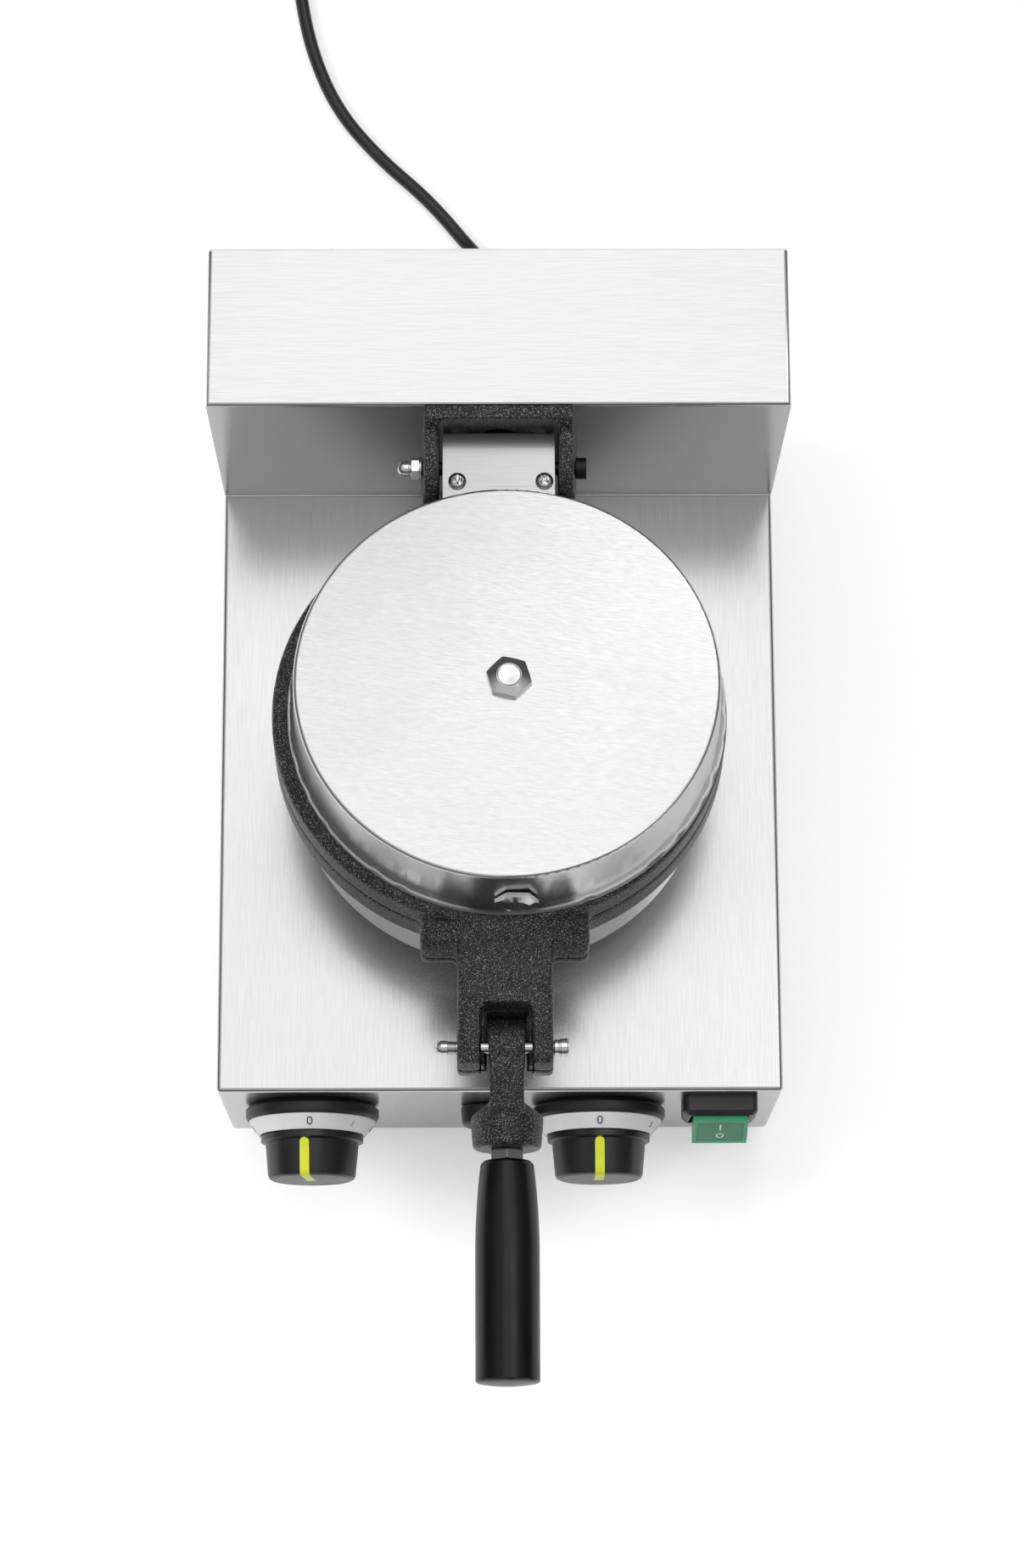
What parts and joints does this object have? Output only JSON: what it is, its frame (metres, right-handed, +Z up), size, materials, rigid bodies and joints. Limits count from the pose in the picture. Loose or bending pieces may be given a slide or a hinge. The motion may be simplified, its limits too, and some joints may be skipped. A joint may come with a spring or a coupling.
{
  "type": "sealed burger press",
  "caption": "Countertop press that seals a filled bun between heated round plates, with a hinged lid, front lever, thermostat and timer knobs, rocker switch and cord.",
  "frame": {"origin": "on the table under the middle of the width and of the overall length from the grip's end to the cable gland's end, cord left out", "axes": "+X to the operator's right, +Y from the front panel to the rear column, +Z up"},
  "size_m": [0.2877, 0.8853, 0.2631],
  "materials": {
    "stainless_sheet": "brushed stainless sheet",
    "stainless_cover": "brushed stainless pressing",
    "fastener_steel": "bright stainless steel",
    "black_steel": "blackened steel",
    "black_enamel": "black wrinkle enamel on cast aluminium",
    "lever_enamel": "black wrinkle enamel",
    "grip_plastic": "moulded phenolic, satin",
    "knob_plastic": "black moulded plastic",
    "dial_plastic": "silver-grey printed ring",
    "pointer_paint": "yellow-green inlay",
    "rocker_plastic": "green translucent plastic",
    "lamp_ring": "black plastic ring",
    "lamp_lens": "amber translucent plastic",
    "control_case": "moulded insulating plastic",
    "spindle_steel": "turned steel",
    "heater_steel": "heat-darkened steel",
    "insulation_wool": "mineral wool disc",
    "bulb_copper": "copper bulb",
    "foot_rubber": "black rubber",
    "cord_rubber": "black flexible sheath",
    "pin_metal": "plated brass"
  },
  "bodies": {
    "chassis": {"base_shell": "stainless_sheet", "column_shell": "stainless_sheet", "rear_panel": "stainless_sheet", "rear_panel_screws": "fastener_steel", "bottom_plate": "stainless_sheet", "bottom_plate_screws": "fastener_steel", "rubber_feet": "foot_rubber", "foot_screws": "fastener_steel", "thermostat_body": "control_case", "thermostat_bezel": "knob_plastic", "thermostat_dial": "dial_plastic", "timer_body": "control_case", "timer_bezel": "knob_plastic", "timer_dial": "dial_plastic", "lamp_bezel": "lamp_ring", "lamp_lens": "lamp_lens", "rocker_frame": "knob_plastic", "terminal_block": "control_case", "pedestal": "black_enamel", "pedestal_screws": "fastener_steel", "pedestal_centre_bolt": "fastener_steel", "lower_cover": "stainless_cover", "lower_insulation": "insulation_wool", "lower_heater_clamp": "heater_steel", "lower_heater": "heater_steel", "lower_casting": "black_enamel", "sensor_bulb": "bulb_copper", "hinge_bracket": "black_enamel", "bracket_bolts": "fastener_steel", "hinge_bolt": "black_steel", "hinge_washer": "fastener_steel", "hinge_dome_nut": "fastener_steel", "cable_gland": "cord_rubber", "power_cord": "cord_rubber", "cord_coil": "cord_rubber", "plug_lead": "cord_rubber", "power_plug": "cord_rubber", "plug_pins": "pin_metal"},
    "lid": {"upper_casting": "black_enamel", "upper_heater": "heater_steel", "upper_heater_clamp": "heater_steel", "upper_insulation": "insulation_wool", "upper_cover": "stainless_cover", "cover_bolt": "fastener_steel", "cover_front_bolt": "fastener_steel", "hinge_plate": "stainless_cover", "hinge_plate_screws": "fastener_steel", "lever_pin": "fastener_steel", "lever_pin_cap": "fastener_steel"},
    "lever": {"lever": "lever_enamel", "grip_stud": "fastener_steel", "grip_nut": "fastener_steel", "grip": "grip_plastic"},
    "thermostat_knob": {"thermostat_spindle": "spindle_steel", "thermostat_knob": "knob_plastic", "thermostat_pointer": "pointer_paint"},
    "timer_knob": {"timer_spindle": "spindle_steel", "timer_knob": "knob_plastic", "timer_pointer": "pointer_paint"},
    "rocker": {"rocker_button": "rocker_plastic"}
  },
  "joints": [
    {"name": "lid_hinge", "type": "hinge", "parent": "chassis", "child": "lid", "pos_m": [0, 0.13901, 0.22413], "axis": [-1, 0, 0], "range_deg": [0, 90]},
    {"name": "lever_pivot", "type": "hinge", "parent": "lid", "child": "lever", "pos_m": [0, -0.1139, 0.23056], "axis": [-1, 0, 0], "range_deg": [0, 70]},
    {"name": "thermostat_turn", "type": "hinge", "parent": "chassis", "child": "thermostat_knob", "pos_m": [-0.0845, -0.11435, 0.0766], "axis": [0, 1, 0], "range_deg": [0, 270]},
    {"name": "timer_turn", "type": "hinge", "parent": "chassis", "child": "timer_knob", "pos_m": [0.0445, -0.11435, 0.0766], "axis": [0, 1, 0], "range_deg": [0, 270]},
    {"name": "rocker_tilt", "type": "hinge", "parent": "chassis", "child": "rocker", "pos_m": [0.098, -0.11635, 0.0955], "axis": [1, 0, 0], "range_deg": [0, 24]}
  ]
}
